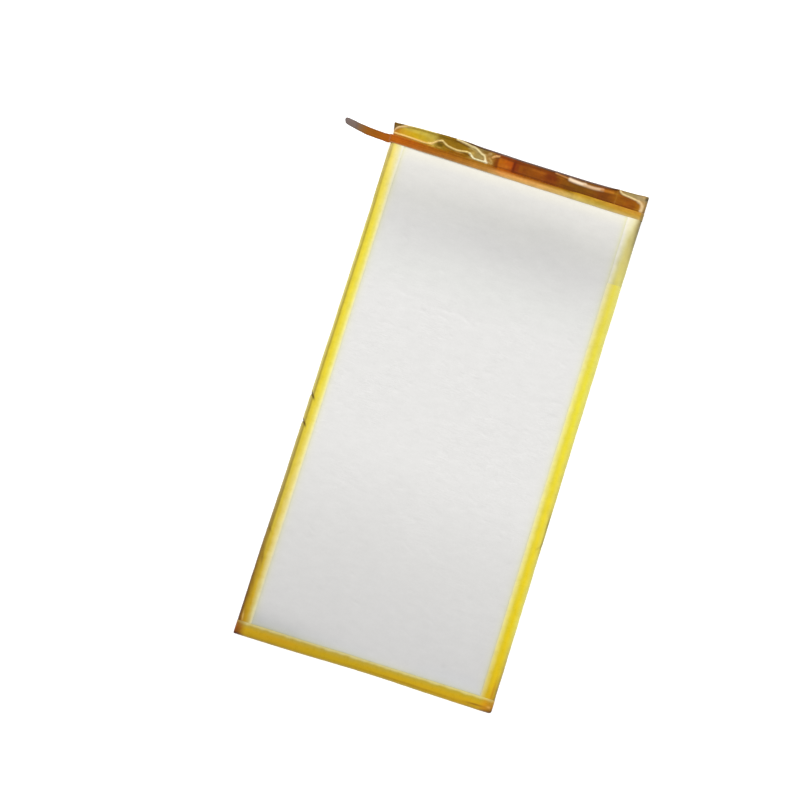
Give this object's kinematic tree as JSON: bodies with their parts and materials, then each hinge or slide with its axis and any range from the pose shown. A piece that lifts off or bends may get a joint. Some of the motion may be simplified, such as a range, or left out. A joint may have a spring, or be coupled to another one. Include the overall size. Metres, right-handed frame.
{
  "type": "pouch battery cell",
  "caption": "Flat lithium-polymer pouch cell with taped edges, a sunken terrace under amber tape that covers the protection board, and a short flex tail with a plug.",
  "frame": {"origin": "centre of the cell's back face, the plane it lies or is glued on", "axes": "+Z out of the drawn face of the pouch, +Y towards the terrace end with the board, +X to the right seen from above, so the flex tail leaves on the -X side"},
  "size_m": [0.0945, 0.1619, 0.0073],
  "materials": {
    "pouch_laminate": "satin silver-white laminate",
    "cathode_coating": "matt black coating on aluminium foil",
    "anode_coating": "dark grey graphite coating on copper foil",
    "separator_film": "white porous film",
    "roll_tape": "green film tape",
    "aluminium_tab": "plain",
    "nickel": "plain nickel strip",
    "sealant_film": "milky film",
    "fibre_paper": "barley paper",
    "solder_mask": "dark green solder mask",
    "chip_epoxy": "black moulding",
    "resistor_body": "black glaze",
    "capacitor_ceramic": "tan ceramic",
    "thermistor_ceramic": "dark green ceramic",
    "fuse_ceramic": "white ceramic",
    "flex_film": "amber polyimide over copper",
    "amber_tape": "translucent amber polyimide",
    "yellow_tape": "yellow polyester film",
    "pale_tape": "pale yellow polyester film",
    "label_film": "blank white film",
    "stiffener_grey": "grey laminate",
    "connector_plastic": "black moulding",
    "contact_metal": "gold flash"
  },
  "bodies": {
    "cell": {"pouch_cup": "pouch_laminate", "pouch_cover": "pouch_laminate", "cathode_foil": "cathode_coating", "anode_foil": "anode_coating", "separator_inner": "separator_film", "separator_outer": "separator_film", "roll_end_tape": "roll_tape", "positive_tab": "aluminium_tab", "negative_tab": "nickel", "tab_sealant_films": "sealant_film", "board_insulator": "fibre_paper", "circuit_board": "solder_mask", "nickel_weld_plates": "nickel", "protection_ic": "chip_epoxy", "mosfet_pair": "chip_epoxy", "chip_resistors": "resistor_body", "chip_capacitors": "capacitor_ceramic", "thermistor": "thermistor_ceramic", "chip_fuse": "fuse_ceramic", "flex_strip": "flex_film", "terrace_tape": "amber_tape", "edge_tape_left": "yellow_tape", "edge_tape_right": "yellow_tape", "edge_tape_right_upper": "pale_tape", "edge_tape_bottom": "yellow_tape", "rating_label": "label_film"},
    "tail_root_body": {"tail_root": "flex_film"},
    "tail_middle_body": {"tail_middle": "flex_film"},
    "tail_tip_body": {"tail_tip": "flex_film", "tail_stiffener": "stiffener_grey", "connector_housing": "connector_plastic", "connector_contacts": "contact_metal", "connector_holds": "contact_metal"}
  },
  "joints": [
    {"name": "tail_root_bend", "type": "hinge", "parent": "cell", "child": "tail_root_body", "pos_m": [-0.0409, 0.07495, 0.00319], "axis": [0, 1, 0], "range_deg": [-60, 60]},
    {"name": "tail_middle_bend", "type": "hinge", "parent": "tail_root_body", "child": "tail_middle_body", "pos_m": [-0.04565, 0.07495, 0.00386], "axis": [0, 1, 0], "range_deg": [-60, 60]},
    {"name": "tail_tip_bend", "type": "hinge", "parent": "tail_middle_body", "child": "tail_tip_body", "pos_m": [-0.05027, 0.07495, 0.00518], "axis": [0, 1, 0], "range_deg": [-60, 60]}
  ]
}
